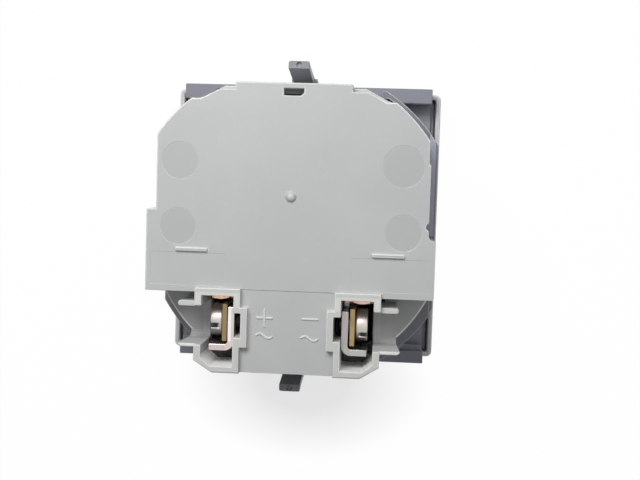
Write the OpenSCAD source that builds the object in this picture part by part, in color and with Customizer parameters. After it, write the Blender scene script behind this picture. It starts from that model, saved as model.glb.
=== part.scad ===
// Panel hour meter for a 45 mm square cut-out, standing on its bezel with the terminals on top.
// x runs along the two terminals, y from the terminals to the plain end, z from the front to the rear.

/* [Bezel] */
// Side of the square bezel
bezel_w = 48; // [46.6:0.1:60]
// Depth of the bezel from its front face to its back rim
bezel_h = 6; // [5.4:0.1:9]
// Thickness of the rim around the housing flange
bezel_rim = 0.9; // [0.6:0.1:1.2]
// Side of the window opening
window_w = 39; // [36:0.5:40]
// Thickness of the clear window
lens_t = 1.2; // [0.8:0.1:1.6]
// Thickness of the printed dial
dial_t = 0.6; // [0.3:0.1:0.8]

/* [Housing] */
// Width of the square body, which passes the panel cut-out
body_w = 44.8; // [44.4:0.1:45]
// Radius over the round corners of the body
corner_r = 26.3; // [26.2:0.1:26.4]
// Sum of the two half widths at a corner flat of the room inside
room_cut = 34.4; // [34:0.1:35]
// Wall of the housing
wall = 1.4; // [1:0.1:1.6]
// Height of the rear rim at the terminal end above the front face
housing_end = 22; // [21.8:0.1:23]
// Height of the collar round the plain end of the cover above that rim
collar_h = 5; // [4:0.1:5.5]
// Number of ratchet grooves on each side
groove_count = 8; // [4:1:8]

/* [Cover] */
// Height of the outer face of the cover plate
cover_face = 36; // [35.6:0.1:38]
// Thickness of the cover plate
plate_t = 1.8; // [1.2:0.1:2]
// Height of the terminal chamber rims
chamber_top = 37; // [36.6:0.1:39]
// Height of the floor beside the chambers
floor_z = 28; // [27.8:0.1:28.2]
// Wall of the terminal chambers
chamber_wall = 1.1; // [0.8:0.1:1.2]

/* [Terminals] */
// Place of the screw axis across the cover
screw_y = -14.85; // [-15.25:0.05:-14.75]
// Height of the screw axis
screw_z = 31; // [30.9:0.1:31.4]
// Radius of the screw head
head_r = 2.55; // [2.4:0.05:2.7]
// Height of the screw head
head_h = 1.9; // [1.4:0.1:2.2]
// Radius of the screw shank
shank_r = 1.5; // [1.2:0.05:1.6]
// Width of the driver slot
slot_w = 0.8; // [0.5:0.1:1]

/* [Clamp] */
// Height of the rear face of the clamp frame
clamp_top = 9.6; // [8.6:0.1:11]
// Half span of the clamp bars along x
bar_x = 22.25; // [20:0.05:23]
// Half span of the clamp bars along y
bar_y = 24.65; // [24.2:0.05:25]
// Height of the latch lever tips
lever_top = 28.85; // [24:0.05:30]
// Half span over the latch lever tips
lever_y = 26.7; // [26.2:0.1:28]
// Width of a latch lever at its tip
lever_w = 3.4; // [2.6:0.1:4.4]

/* [Counter] */
// Radius of the digit band
drum_r = 6.4; // [6:0.1:6.5]
// Distance from drum to drum
drum_pitch = 3.6; // [3.4:0.05:3.6]
// Module of the carry teeth
carry_m = 0.5286; // [0.51:0.0001:0.535]
// Module of the reduction train
train_m = 0.2; // [0.19:0.001:0.2]
// Radius of the motor
motor_r = 7.4; // [6.8:0.1:7.6]

/* [Hidden] */
$fn = 64;
drums = 7;
hb = body_w / 2;
flange_z = bezel_h - 2.6;
flange_top = flange_z + 1.8;
lens_z = flange_z - dial_t - lens_t;
clamp_z = bezel_h + 0.1;
shoulder_z = cover_face - 3;
deck_z = floor_z - 1;
shelf_t = 1.2;
cavity_z = cover_face - plate_t;
ledge_y = -10.1;
block_step = 0.12;
mark_d = 0.04;
field_d = 0.05;
// The round corners and the terminal end are drawn around an axis a little right of the middle
end_x = 0.35;
cover_r = 25.3;
deck_r = 24;
chamber_x = 14.37;
lip_r = 1;
step_y = ledge_y + 0.65;
drum_y = -2;
drum_z = flange_z + 0.8 + drum_r;
motor_y = 8.5;
motor_z = 22;
left_x = -14.2;
right_x = 17.2;
plate_x = 1.2;
drum_x = 12.6;
// Centres of the train: stud 3 beside the drum gear, stud 2, then stud 1 in reach of the motor
stud_3 = [drum_y, drum_z] + 36 * train_m * [cos(140), sin(140)];
stud_2 = stud_3 + 24 * train_m * [cos(40), sin(40)];
motor_at = [motor_y, motor_z];
drum_at = [drum_y, drum_z];
stud_gap = norm(motor_at - stud_2);
stud_dir = (motor_at - stud_2) / stud_gap;
stud_rise = sqrt(pow(34 * train_m, 2) - pow(stud_gap / 2, 2));
stud_1 = (motor_at + stud_2) / 2 + stud_rise * [-stud_dir[1], stud_dir[0]];
carry_gap = 14 * carry_m;
carry_at = drum_at + carry_gap * [cos(200), sin(200)];
layer = [12.9, 13.9, 14.9, 15.9];
gear_t = 0.8;
lug_top = 35;
short_top = 31;
clamp_x = 9.6;
clamp_t = 0.8;
head_x = clamp_x + clamp_t + 0.05;
hinge_y = 23.7;
hinge_z = clamp_top + 0.1;
hinge_r = 0.7;

// Helpers

// A flat shape drawn in y and z, carried from x0 to x1
module along_x(x0, x1) {
  translate([x0, 0, 0])
    rotate([90, 0, 90])
      linear_extrude(x1 - x0) children();
}

// A round bar along x
module bar_x_at(p, r, x0, x1) {
  translate([x0, p[0], p[1]])
    rotate([0, 90, 0]) cylinder(h = x1 - x0, r = r);
}

// A box from its two corners
module box(a, b) {
  translate(a) cube(b - a);
}

// The shape and its mirror image across the middle
module both_sides() {
  children();
  mirror([1, 0, 0]) children();
}

// A rounded square
module soft_square(w, r) {
  square([w, w - 2 * r], center = true);
  square([w - 2 * r, w], center = true);
  for (x = [-1, 1], y = [-1, 1])
    translate([x * (w / 2 - r), y * (w / 2 - r)]) circle(r);
}

// An octagon: half width h, corner flats where x + y = c
module octagon(h, c) {
  polygon([[h, c - h], [c - h, h], [h - c, h], [-h, c - h],
           [-h, h - c], [h - c, -h], [c - h, -h], [h, h - c]]);
}

// Outline of the body with its round corners, grown by g
module body_outline(g) {
  intersection() {
    translate([end_x, 0]) circle(corner_r + g);
    square(2 * (hb + g), center = true);
  }
}

function heading(a, b) = atan2(b[1] - a[1], b[0] - a[0]);

// Straight-sided teeth around a pitch circle, one tooth centred on the angle ph
function teeth(n, m, add, ded, tw, ph) = [
  for (k = [0:n - 1])
    for (s = [[-1, 0], [-1, 1], [1, 1], [1, 0]])
      let (rad = n * m / 2 + (s[1] == 1 ? add : -ded),
           half = tw * (s[1] == 1 ? 0.3 : 0.7),
           a = ph + k * 360 / n + s[0] * half / rad * 180 / PI)
      [rad * cos(a), rad * sin(a)]];

// One wheel of the reduction train
module wheel(p, n, ph, x0) {
  along_x(x0, x0 + gear_t)
    translate(p) polygon(teeth(n, train_m, 0.75 * train_m, 1.2 * train_m, train_m, ph));
}

// A compound gear: big wheel, then a small pinion one layer further out, on a running bore
module compound(p, n, from, to, i) {
  difference() {
    union() {
      wheel(p, n, heading(p, from) + 180 / n, layer[i]);
      bar_x_at(p, 2.2 * train_m, layer[i] + gear_t, layer[i + 1]);
      wheel(p, 8, heading(p, to), layer[i + 1]);
    }
    bar_x_at(p, 0.33, layer[i] - 1, layer[i + 1] + gear_t + 1);
  }
}

// Case parts

module front_bezel() {
  inner = bezel_w - 2 * bezel_rim;
  color([0.77, 0.78, 0.78])
    difference() {
      linear_extrude(bezel_h) soft_square(bezel_w, 1);
      translate([0, 0, -1]) linear_extrude(bezel_h) square(window_w, center = true);
      translate([0, 0, lens_z]) linear_extrude(bezel_h) square(window_w + 2.2, center = true);
      translate([0, 0, flange_z]) linear_extrude(bezel_h) square(inner, center = true);
    }
}

module window_lens() {
  color([0.85, 0.9, 0.92, 0.3])
    translate([0, 0, lens_z])
      linear_extrude(lens_t) square(window_w + 2, center = true);
}

module dial_plate() {
  color([0.12, 0.12, 0.13])
    translate([0, 0, flange_z - dial_t])
      linear_extrude(dial_t)
        difference() {
          square(window_w + 2, center = true);
          translate([-0.05, drum_y]) square([drums * drum_pitch - 0.6, 4.6], center = true);
        }
}

// Collar of the housing round the plain end of the cover, open at the terminal end and at the middle
module collar_outline() {
  difference() {
    body_outline(0);
    intersection() {
      translate([0.1, 0]) circle(cover_r + 0.3);
      square(42.4, center = true);
    }
    translate([-30, -30]) square([30, 33]);
    translate([-1, -30]) square([31, 29.2]);
    translate([-13.3, 0]) square([26.6, 30]);
  }
}

module main_housing() {
  inner = hb - wall;
  color([0.13, 0.13, 0.14])
    difference() {
      union() {
        // Flange in two steps: a wide one that fits the bezel, then one that leaves a groove inside its rim
        translate([0, 0, flange_z])
          linear_extrude(1) square(bezel_w - 2 * bezel_rim - 0.4, center = true);
        translate([0, 0, flange_z])
          linear_extrude(flange_top - flange_z) square(body_w - 0.2, center = true);
        translate([0, 0, flange_z])
          linear_extrude(housing_end - flange_z) body_outline(0);
        translate([0, 0, housing_end - 0.5])
          linear_extrude(collar_h + 0.5) collar_outline();
      }
      // Room inside, with a shelf left at the rim below the terminal deck
      translate([0, 0, flange_top])
        linear_extrude(housing_end - shelf_t - flange_top) octagon(inner, room_cut);
      translate([0, 0, housing_end - shelf_t - 0.1])
        linear_extrude(shelf_t + 1) {
          intersection() {
            octagon(inner, room_cut);
            translate([-25, ledge_y - 0.15]) square([50, 40]);
          }
          deck_room_outline();
        }
      // Opening behind the dial
      box([left_x + 1.5, drum_y - 8, flange_z - 1], [right_x - 0.3, drum_y + 8, flange_top + 1]);
      // Ratchet grooves for the latch levers
      for (s = [-1, 1], i = [0:groove_count - 1])
        translate([0, 0, clamp_top + 1.4 + i * 1.4])
          along_x(-2.4, 2.4)
            polygon([[s * (hb + 1), 0], [s * (hb - 0.5), 0], [s * hb, 0.9], [s * (hb + 1), 0.9]]);
    }
}

// What the round corners of the cover leave outside them
module cover_corners() {
  difference() {
    translate([-23, 11]) square([46, 12]);
    circle(cover_r);
  }
}

// Outline of the cover plate
module plate_outline() {
  difference() {
    union() {
      polygon([[22.35, ledge_y], [22.35, -1.2], [21.2, -1.2], [21.2, 10.5], [20.93, 10.8],
               [20.93, 19.8], [14.2, 19.8], [11.3, 21.3],
               [8.98, 21.3], [8.98, 22.45], [-8.98, 22.45], [-8.98, 21.3], [-11.3, 21.3],
               [-14.2, 19.8], [-20.93, 19.8], [-20.93, 2.6], [-22.4, 2.6], [-22.4, ledge_y]]);
      // Hollow fillet above the right wing
      difference() {
        translate([21, -1.3]) square([1.35, 1.3]);
        translate([22.35, 0]) circle(1.15);
      }
    }
    translate([21.4, 1.1]) circle(0.6);
    cover_corners();
    // The centre block starts a little inside the ledge
    translate([-7.3, ledge_y - 1]) square([14.6, 1 + step_y - ledge_y]);
  }
}

// Outline of the walls below the shoulder
module skirt_outline() {
  difference() {
    polygon([[22.35, ledge_y], [22.35, -1.2], [20.93, -1.2], [20.93, 19.8], [15.87, 19.8],
             [14.3, 20.3], [11, 22.05], [-11, 22.05], [-14.3, 20.3], [-15.87, 19.8],
             [-20.93, 19.8], [-20.93, 2.6], [-22.4, 2.6], [-22.4, ledge_y]]);
    cover_corners();
  }
}

// The room under the plate
module cavity_outline() {
  polygon([[19.7, ledge_y + 1.2], [19.7, 13.6], [15.1, 18.6], [10.6, 20.9], [-10.6, 20.9],
           [-15.1, 18.6], [-19.7, 13.6], [-19.7, ledge_y + 1.2]]);
}

// Outline of the right terminal chamber
module chamber_outline() {
  polygon([[7.28, -9.3], [chamber_x, -9.3], [chamber_x, -20.65], [11.4, -22.5], [7.28, -22.5]]);
}

// The room under the terminal deck
module deck_room_outline() {
  intersection() {
    circle(22.6);
    translate([-20, -21.2]) square([40, 22.4 + ledge_y]);
  }
}

// The terminal deck
module deck_outline() {
  intersection() {
    translate([end_x, 0]) circle(deck_r);
    translate([-21.3, -22.4]) square([43.1, 22.4 + ledge_y + 0.6]);
  }
}

// Wall under the terminal deck, from the housing rim up
module end_skirt_outline() {
  difference() {
    union() {
      deck_outline();
      both_sides() chamber_outline();
    }
    deck_room_outline();
  }
}

// One terminal chamber with its driver channel, right hand
module chamber_solid() {
  translate([0, 0, deck_z])
    linear_extrude(chamber_top - deck_z) chamber_outline();
  box([7.28, -20.3, deck_z - 1.4], [13.8, -9.3, deck_z + 1]);
  // Pocket behind the screw tip
  box([6.12, -18.4, floor_z - 1], [7.4, -12.2, chamber_top]);
  // Upper guide rib of the driver channel
  box([chamber_x - 0.1, -12.3, floor_z - 0.5], [16.7, -11.5, cover_face]);
  translate([16.7, -11.9, floor_z - 0.5]) cylinder(h = cover_face - floor_z + 0.5, r = 0.4);
}

// Lower lip of a driver channel, s = 1 right and s = -1 left
module channel_lip(s) {
  end = 17.25 + 0.7 * s * end_x;
  mirror([1 - s, 0, 0])
    intersection() {
      union() {
        translate([0, 0, deck_z])
          linear_extrude(cover_face - deck_z)
            polygon([[13.3, -18.7], [end - 0.5, -18.7], [end, -18.35], [end, -18.15], [13.3, -18.15]]);
        // Hollow fillet along its foot
        along_x(14, end)
          difference() {
            translate([-18.2, floor_z - 0.2]) square([lip_r, lip_r]);
            translate([lip_r - 18.15, floor_z + lip_r]) circle(lip_r);
          }
      }
      // The outer end leans, so that its foot keeps to the deck
      translate([0, -15, 0])
        rotate([90, 0, 0])
          linear_extrude(5)
            polygon([[13, deck_z], [end - 0.6, deck_z], [end, cover_face], [13, cover_face]]);
    }
}

module chamber_room() {
  inner = chamber_x - chamber_wall;
  foot = -22.5 + chamber_wall;
  // Main room, its deeper pocket and the open outer side over a low sill
  translate([0, 0, floor_z])
    linear_extrude(chamber_top)
      polygon([[8.3, -10.5], [inner, -10.5], [inner, foot + 1.25], [inner - 1.6, foot], [8.3, foot]]);
  box([8.3, -19.5, deck_z - 0.4], [inner - 0.1, -10.5, floor_z + 1]);
  box([inner - 0.1, -18.15, floor_z + 0.25], [chamber_x, -12.1, chamber_top + 1]);
  // Slot for the screw tip
  box([7.16, -16.9, floor_z], [8.4, -13.1, chamber_top + 1]);
  // Way through the floor for the tail of the lug, and the well under its legs
  box([8.3, -17.1, deck_z - 3], [9.5, -13.1, floor_z]);
  box([10, -20.2, deck_z - 3], [inner - 0.1, -10.6, floor_z + 1]);
  // Hole between the ledge and the rib
  box([chamber_x, -11.5, deck_z - 2], [15, ledge_y - 0.2, cover_face + 1]);
}

module back_cover() {
  color([0.77, 0.78, 0.78])
    difference() {
      union() {
        translate([0, 0, housing_end])
          linear_extrude(shoulder_z - housing_end) skirt_outline();
        translate([0, 0, shoulder_z])
          linear_extrude(cover_face - shoulder_z) plate_outline();
        // Lip that locates the cover inside the housing
        translate([0, 0, housing_end - 2])
          linear_extrude(2.5)
            intersection() {
              octagon(hb - wall - 0.15, room_cut - 0.25);
              translate([-25, ledge_y]) square([50, 40]);
            }
        // Terminal deck and the wall that carries it
        translate([0, 0, housing_end])
          linear_extrude(deck_z - housing_end + 0.5) end_skirt_outline();
        translate([0, 0, deck_z])
          linear_extrude(floor_z - deck_z) deck_outline();
        box([-7.4, -22.4, deck_z], [7.4, step_y + 0.6, cover_face - block_step]);
        both_sides() chamber_solid();
        for (s = [-1, 1]) channel_lip(s);
        // Raised bars above the ledge fields and the gate mark
        both_sides() box([12.71, -3.8, cover_face - 0.5], [17.69, -3.2, cover_face + 0.4]);
        translate([0, 5.1, cover_face - 0.35]) sphere(r = 0.95);
      }
      translate([0, 0, housing_end - 3])
        linear_extrude(cavity_z - housing_end + 3) cavity_outline();
      // Room under the centre block, and the way below the deck
      box([-5, -21.2, housing_end - 3], [5, ledge_y + 1.3, cavity_z]);
      box([-20, ledge_y - 0.1, housing_end - 3], [20, ledge_y + 1.3, deck_z]);
      both_sides() chamber_room();
      // Ejector marks
      both_sides() translate([17.37, 0.06, cover_face - mark_d]) cylinder(h = 1, r = 2.85);
      translate([-17.27, 10.17, cover_face - mark_d]) cylinder(h = 1, r = 2.9);
      translate([17.1, 10.17, cover_face - mark_d]) cylinder(h = 1, r = 3.25);
      // Shallow fields in the ledge
      box([-21.6, -9.1, cover_face - field_d], [-9.7, -4, cover_face + 0.1]);
      box([9.6, -9.1, cover_face - field_d], [21.5, -4, cover_face + 0.1]);
      // Catch slot with one cut corner
      translate([0, 0, cavity_z - 1])
        linear_extrude(plate_t + 2)
          polygon([[-1.53, 20.5], [1, 20.5], [1.53, 20.9], [1.53, 21.6], [-1.53, 21.6]]);
    }
}

// Clamp parts

module clamp_frame() {
  color([0.12, 0.12, 0.13])
    difference() {
      union() {
        translate([0, 0, clamp_z])
          linear_extrude(clamp_top - clamp_z) body_outline(1.2);
        box([-bar_x, hb - 0.4, clamp_z], [bar_x, bar_y, clamp_top]);
        // The lower bar has a low step along its inner edge
        box([-bar_x, -bar_y, clamp_z], [bar_x, -hb, clamp_top]);
        box([-bar_x + 0.3, -hb - 0.1, clamp_z], [bar_x - 0.3, 0.9 - hb, clamp_top - 1.3]);
      }
      translate([0, 0, clamp_z - 1])
        linear_extrude(clamp_top) body_outline(0.3);
      // Round seats of the latch levers
      for (s = [-1, 1])
        bar_x_at([s * hinge_y, hinge_z], hinge_r + 0.05, -2.4, 2.4);
    }
}

// A latch lever, s = 1 above and s = -1 below
module latch_lever(s) {
  root = hinge_y - 0.7;
  tip = lever_y - 1.35;
  foot_z = hinge_z + 7.9;
  color([0.11, 0.11, 0.12])
    difference() {
      union() {
        bar_x_at([s * hinge_y, hinge_z], hinge_r, -2.2, 2.2);
        // Wide foot, then the narrower blade
        along_x(-2.2, 2.2)
          polygon([[s * (hinge_y - 0.55), hinge_z], [s * (hinge_y + 0.55), hinge_z],
                   [s * (hinge_y + 0.75), hinge_z + 0.6], [s * 25.1, foot_z], [s * 23.8, foot_z],
                   [s * root, hinge_z + 0.6]]);
        along_x(-lever_w / 2, lever_w / 2)
          polygon([[s * 23.6, 16], [s * 24.9, 16], [s * lever_y, lever_top - 0.35],
                   [s * (lever_y - 0.15), lever_top], [s * (tip + 0.1), lever_top],
                   [s * tip, lever_top - 0.3]]);
        // Pawl, just clear of the ratchet grooves
        along_x(-1.6, 1.6)
          polygon([[s * (hb + 0.2), 13], [s * (hb + 0.2), 13.4], [s * 23.5, 14.6],
                   [s * 23.7, 12.9]]);
      }
      // Round mark in the tip
      translate([0, s * (lever_y - 0.65), lever_top - 0.4]) cylinder(h = 1, r = 0.46);
    }
}

// Terminal parts, drawn for the right hand

module lug() {
  foot = deck_z - 0.4;
  color([0.72, 0.71, 0.68])
    difference() {
      union() {
        // Web, with its upper end cut back above the short leg
        box([8.4, -17.8, foot], [9.4, -12.35, lug_top]);
        box([8.4, -12.4, foot], [9.4, -10.8, short_top - 1.5]);
        // Lower leg with its round bend
        box([9.8, -19.25, foot], [12.4, -18.25, lug_top]);
        translate([0, 0, foot])
          linear_extrude(lug_top - foot)
            intersection() {
              translate([9.9, -17.75])
                difference() {
                  circle(1.5);
                  circle(0.5);
                }
              translate([8.4, -19.25]) square(1.5);
            }
        // Short upper leg with a bowed edge
        box([9.3, -11.5, foot], [10, -10.8, short_top - 1.5]);
        translate([0, 0, foot])
          linear_extrude(short_top - foot)
            intersection() {
              translate([11.28, -7.95]) circle(3.8);
              translate([9.8, -12]) square([2.95, 1.2]);
            }
        // Tail through the cover to the coil lead
        box([8.4, -17, 22], [9.4, -13.2, deck_z]);
      }
      bar_x_at([screw_y, screw_z], shank_r + 0.05, 8, 10);
      bar_x_at([-14.4, 23.4], 0.5, 8, 10);
    }
}

module wire_clamp() {
  color([0.72, 0.6, 0.36])
    difference() {
      box([clamp_x, -17.9, 27.7], [clamp_x + clamp_t, -12, 34.3]);
      bar_x_at([screw_y, screw_z], shank_r + 0.1, clamp_x - 1, clamp_x + clamp_t + 1);
    }
}

// The driver slot stands at an angle from upright
module terminal_screw(slot_turn) {
  color([0.7, 0.7, 0.69])
    difference() {
      union() {
        bar_x_at([screw_y, screw_z], shank_r, 7.7, head_x + 0.1);
        bar_x_at([screw_y, screw_z], head_r, head_x, head_x + head_h);
      }
      translate([head_x + head_h, screw_y, screw_z])
        rotate([slot_turn, 0, 0]) cube([2.2, slot_w, 8], center = true);
    }
}

// An insulated lead from the bobbin block to the tail of a lug, swept along the points p
module lead(p) {
  n = len(p);
  k = 8;
  r = 0.4;
  t = [for (i = [0:n - 1])
         let (d = p[min(i + 1, n - 1)] - p[max(i - 1, 0)]) d / norm(d)];
  points = [for (i = [0:n - 1])
              let (c = cross(t[i], [0, 0, 1]), u = c / norm(c), w = cross(t[i], u))
              for (j = [0:k - 1])
                p[i] + r * (cos(360 * j / k) * u + sin(360 * j / k) * w)];
  sides = [for (i = [0:n - 2], j = [0:k - 1])
             let (a = i * k + j, b = i * k + (j + 1) % k)
             for (f = [[b, a, a + k], [b, a + k, b + k]]) f];
  caps = [[for (j = [0:k - 1]) j], [for (j = [0:k - 1]) n * k - 1 - j]];
  color([0.55, 0.12, 0.1]) polyhedron(points, concat(sides, caps));
}

// Counter parts

module side_plate(x0, right) {
  color([0.75, 0.73, 0.66])
    difference() {
      along_x(x0, x0 + plate_x)
        polygon([[-15.2, flange_top], [14.9, flange_top], [14.9, 31.8], [9, 31.8], [-6, 27],
                 [-15.2, 17.5]]);
      bar_x_at(drum_at, 0.78, x0 - 1, x0 + 3);
      bar_x_at(carry_at, 0.53, x0 - 1, x0 + 3);
      for (p = [[13.6, 8.5], [-13.2, 14], [13.2, 29.6]])
        bar_x_at(p, 0.83, x0 - 1, x0 + 3);
      if (right)
        for (p = [stud_1, stud_2, stud_3]) bar_x_at(p, 0.33, x0 - 1, x0 + 3);
      else
        bar_x_at(motor_at, 0.55, x0 - 1, x0 + 3);
    }
}

module tie_rods() {
  color([0.68, 0.68, 0.67])
    for (p = [[13.6, 8.5], [-13.2, 14], [13.2, 29.6]]) {
      bar_x_at(p, 0.8, left_x, right_x + plate_x);
      bar_x_at(p, 1.3, left_x + plate_x, right_x);
    }
}

module gear_studs() {
  color([0.7, 0.7, 0.68])
    for (p = [[stud_1, layer[0]], [stud_2, layer[1]], [stud_3, layer[2]]])
      bar_x_at(p[0], 0.3, p[1] - 0.2, right_x + plate_x);
}

module drum_shaft() {
  color([0.7, 0.7, 0.68]) bar_x_at(drum_at, 0.75, left_x - 0.4, right_x + plate_x + 0.4);
}

module pinion_shaft() {
  color([0.7, 0.7, 0.68]) bar_x_at(carry_at, 0.5, left_x - 0.4, right_x + plate_x + 0.4);
}

// Drum i, the fastest one first: tooth ring, digit band, then carry disc with two teeth
module digit_drum(i) {
  xr = drum_x - drum_pitch * (i - 1);
  color([0.93, 0.93, 0.91])
    difference() {
      union() {
        if (i > 1)
          along_x(xr - 1, xr - 0.05)
            translate(drum_at)
              polygon(teeth(20, carry_m, 0.4, 0.55, 0.62, heading(drum_at, carry_at)));
        else
          bar_x_at(drum_at, 1.2, xr - 1, layer[3]);
        bar_x_at(drum_at, drum_r, xr - drum_pitch + 0.75, xr - 0.95);
        bar_x_at(drum_at, 4.3, xr - drum_pitch + 0.05, xr - drum_pitch + 0.85);
        // Two carry teeth, turned away from the pinion
        for (a = [-9, 9])
          translate([xr - drum_pitch + 0.05, drum_y, drum_z])
            rotate([heading(drum_at, carry_at) + 150 + a, 0, 0])
              translate([0, 4, -0.3]) cube([0.75, 1.6, 0.6]);
      }
      bar_x_at(drum_at, 0.8, -30, 30);
    }
}

module drum_gear() {
  color([0.86, 0.84, 0.76])
    difference() {
      wheel(drum_at, 64, heading(drum_at, stud_3) + 180 / 64, layer[3]);
      bar_x_at(drum_at, 0.8, 0, 30);
    }
}

// Pinion i carries from drum i to drum i + 1: eight teeth on one half, four on the other
module transfer_pinion(i) {
  x0 = drum_x - drum_pitch * i - 0.85;
  ph = heading(carry_at, drum_at);
  color([0.88, 0.87, 0.8])
    difference() {
      union() {
        along_x(x0, x0 + 0.8)
          translate(carry_at) polygon(teeth(8, carry_m, 0.4, 0.55, 0.62, ph + 22.5));
        along_x(x0 + 0.8, x0 + 1.4)
          translate(carry_at) polygon(teeth(4, 2 * carry_m, 0.4, 0.55, 0.62, ph + 22.5));
      }
      bar_x_at(carry_at, 0.53, -30, 30);
    }
}

// Motor and train

module stator_cup(x0, x1, end) {
  color([0.62, 0.63, 0.64])
    difference() {
      bar_x_at(motor_at, motor_r, x0, x1);
      bar_x_at(motor_at, motor_r - 0.7, end ? x0 - 1 : x0 + 0.8, end ? x1 - 0.8 : x1 + 1);
      bar_x_at(motor_at, 0.55, x0 - 1, x1 + 1);
      // Notch for the bobbin block
      box([-6.4, -2, 21], [-2.6, 3.5, 24.6]);
    }
}

module coil_bobbin() {
  color([0.2, 0.32, 0.22])
    difference() {
      union() {
        bar_x_at(motor_at, 4.6, -11.5, 2.5);
        bar_x_at(motor_at, motor_r - 0.9, -11.5, -10.7);
        bar_x_at(motor_at, motor_r - 0.9, 1.7, 2.5);
        box([-6, 0.4, 21.4], [-3, 4.4, 24.2]);
      }
      bar_x_at(motor_at, 4, -12, 3);
    }
}

module coil_winding() {
  color([0.62, 0.33, 0.16])
    difference() {
      bar_x_at(motor_at, motor_r - 1.4, -10.6, 1.6);
      bar_x_at(motor_at, 4.62, -12, 3);
      box([-6.1, -2, 21.3], [-2.9, 4.6, 24.3]);
    }
}

module rotor_magnet() {
  color([0.22, 0.22, 0.24])
    difference() {
      bar_x_at(motor_at, 3.6, -11, 2);
      bar_x_at(motor_at, 0.5, -12, 3);
    }
}

module rotor_shaft() {
  color([0.7, 0.7, 0.68])
    union() {
      bar_x_at(motor_at, 0.5, left_x, layer[0] + 0.1);
      wheel(motor_at, 8, heading(motor_at, stud_1), layer[0]);
    }
}

module first_gear() {
  color([0.84, 0.8, 0.62]) compound(stud_1, 60, motor_at, stud_2, 0);
}

module second_gear() {
  color([0.84, 0.8, 0.62]) compound(stud_2, 60, stud_1, stud_3, 1);
}

module third_gear() {
  color([0.84, 0.8, 0.62]) compound(stud_3, 40, stud_2, drum_at, 2);
}

// Assembly

front_bezel();
window_lens();
dial_plate();
main_housing();
back_cover();
clamp_frame();
latch_lever(1);  // upper_latch_lever
latch_lever(-1);  // lower_latch_lever
mirror([1, 0, 0]) lug();  // left_terminal_lug
lug();  // right_terminal_lug
mirror([1, 0, 0]) wire_clamp();  // left_clamp_plate
wire_clamp();  // right_clamp_plate
mirror([1, 0, 0]) terminal_screw(18);  // left_terminal_screw
terminal_screw(33);  // right_terminal_screw
lead([[-5.4, 0.4, 23.2], [-5.4, -0.8, 23.2], [-6.2, -3, 23.6], [-7.8, -7, 24.2],  // left_coil_lead
        [-8.7, -10, 24.4], [-8.9, -12, 24.4], [-8.9, -13.2, 24.4]]);
lead([[-3.6, 0.4, 23.2], [-3.6, -0.8, 23.2], [-2.4, -2.4, 23.4], [3, -6, 24.2],  // right_coil_lead
        [7.6, -9.4, 24.4], [8.9, -12, 24.4], [8.9, -13.2, 24.4]]);
side_plate(left_x, false);  // left_side_plate
side_plate(right_x, true);  // right_side_plate
tie_rods();
gear_studs();
drum_shaft();
pinion_shaft();
stator_cup(-13, -4.5, false);  // left_stator_cup
stator_cup(-4.5, 4, true);  // right_stator_cup
coil_bobbin();
coil_winding();
rotor_magnet();
rotor_shaft();
first_gear();
second_gear();
third_gear();
drum_gear();
for (i = [1:drums])
  digit_drum(i);
for (i = [1:drums - 1])
  transfer_pinion(i);
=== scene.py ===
"""Looks of a square panel hour meter lying on its bezel, terminals up.

Sizes and places are written in millimetres, and MM turns them into Blender's metres."""
import math

import bmesh
import bpy
from mathutils import Matrix, Vector
from mathutils.geometry import intersect_point_line


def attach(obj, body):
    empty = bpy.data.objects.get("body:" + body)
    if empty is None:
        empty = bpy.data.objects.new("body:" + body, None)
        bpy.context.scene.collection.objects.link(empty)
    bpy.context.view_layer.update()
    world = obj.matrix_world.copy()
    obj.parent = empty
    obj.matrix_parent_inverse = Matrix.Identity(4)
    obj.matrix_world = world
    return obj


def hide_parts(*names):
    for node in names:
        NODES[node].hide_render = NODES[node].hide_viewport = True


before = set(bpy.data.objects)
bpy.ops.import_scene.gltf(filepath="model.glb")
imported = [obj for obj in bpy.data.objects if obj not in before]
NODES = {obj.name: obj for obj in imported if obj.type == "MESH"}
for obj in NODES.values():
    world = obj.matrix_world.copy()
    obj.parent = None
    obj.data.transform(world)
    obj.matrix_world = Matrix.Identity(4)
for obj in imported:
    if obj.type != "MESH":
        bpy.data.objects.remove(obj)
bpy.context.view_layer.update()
MM = 0.001
scene = bpy.context.scene

# Heights and places shared with the solids
COVER_FACE = 36.0
BLOCK_FACE = 35.88
CHAMBER_TOP = 37.0
DECK = 28.0
DECK_RADIUS = 24.0
COLLAR_TOP = 27.0
CORNER_AXIS_X = 0.35
DRUM_AXIS_Y = -2.0
DRUM_AXIS_Z = 10.6
DRUM_RADIUS = 6.4
DRUM_PITCH = 3.6
DRUM_RIGHT_END = 12.6
DRUM_COUNT = 7
RED_DRUMS = 2

# Angles between two faces that make an edge sharp, or the faces one flat region
SHARP = math.radians(28)
FLAT = math.radians(1)
# Cosines from which two edges run on from one another, and up to which two borders face each other
RUNS_ON = 0.9
FACING = -0.2
# An edge takes a share of its room, which is wide where nothing is near
ROOM_SHARE = 0.4
WIDEST_ROOM = 1000.0 * MM
ROUNDING_STEPS = 3
# Points and faces of a solid that count as one
MERGE_GAP = 0.002 * MM
PLANE_ANGLE = math.radians(0.4)
# Shading of moulded and of drawn pieces
MOULDED_SMOOTH = math.radians(40)
DRAWN_SMOOTH = math.radians(32)
BROAD_FACE_WEIGHT = 80


# Picking and finishing


def only(piece):
    """Selects one object alone and makes it active."""
    bpy.ops.object.select_all(action="DESELECT")
    piece.select_set(True)
    bpy.context.view_layer.objects.active = piece


def edit(piece):
    """Enters edit mode with nothing selected and returns the mesh under edit."""
    only(piece)
    bpy.ops.object.mode_set(mode="EDIT")
    bpy.ops.mesh.select_mode(type="FACE")
    bpy.ops.mesh.select_all(action="DESELECT")
    return bmesh.from_edit_mesh(piece.data)


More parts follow.
